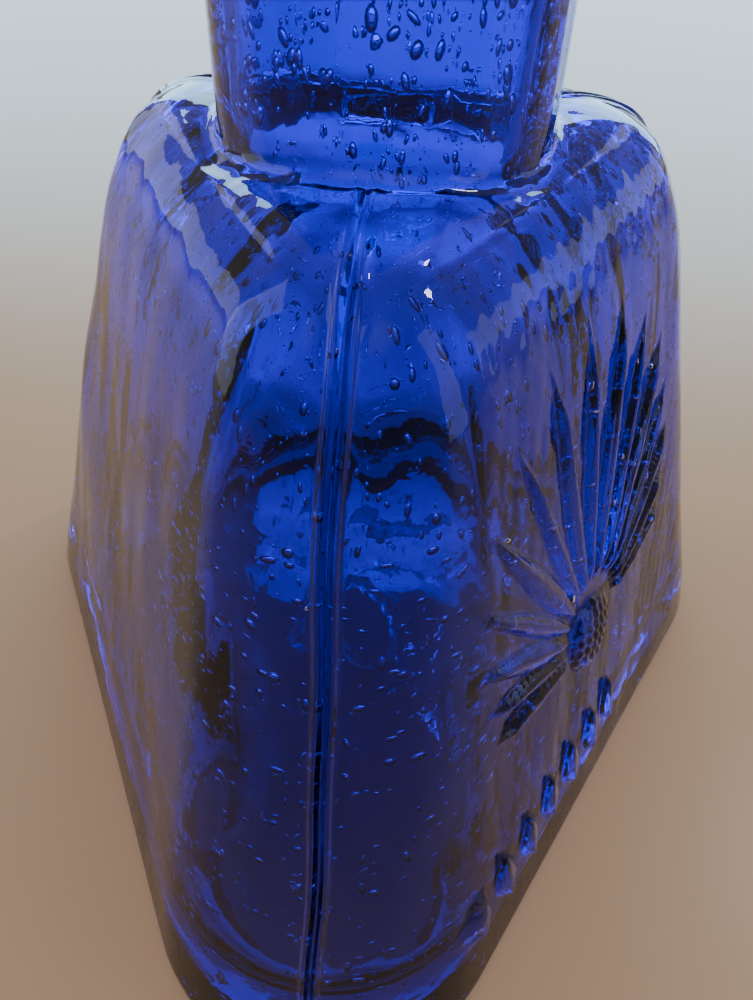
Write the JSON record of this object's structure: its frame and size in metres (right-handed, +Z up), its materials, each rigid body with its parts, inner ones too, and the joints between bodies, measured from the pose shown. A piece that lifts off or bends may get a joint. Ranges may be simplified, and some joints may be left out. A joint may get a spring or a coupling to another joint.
{
  "type": "stoppered glass bottle",
  "caption": "Flaring triangular cobalt glass bottle with rounded corners, round neck, applied lip, plant relief and a lift-out cork.",
  "frame": {"origin": "the neck's axis at the plane that the bottle stands on", "axes": "+Z up along the neck, -Y towards one rounded corner, the face with the relief looks towards +X and -Y at 30 degrees below +X"},
  "size_m": [0.1506, 0.1389, 0.207],
  "materials": {
    "cobalt_glass": "glossy, hand-blown, with seed bubbles",
    "cork": "raw natural cork"
  },
  "bodies": {
    "bottle": {"glass_body": "cobalt_glass", "neck": "cobalt_glass", "lip_ring": "cobalt_glass", "mould_seams": "cobalt_glass", "relief_leaves": "cobalt_glass", "relief_heart": "cobalt_glass", "relief_pads": "cobalt_glass", "pontil_scar": "cobalt_glass"},
    "stopper": {"cork_stopper": "cork"}
  },
  "joints": [
    {"name": "stopper_lift", "type": "slide", "parent": "bottle", "child": "stopper", "axis": [0, 0, 1], "range_m": [0, 0.06]}
  ]
}
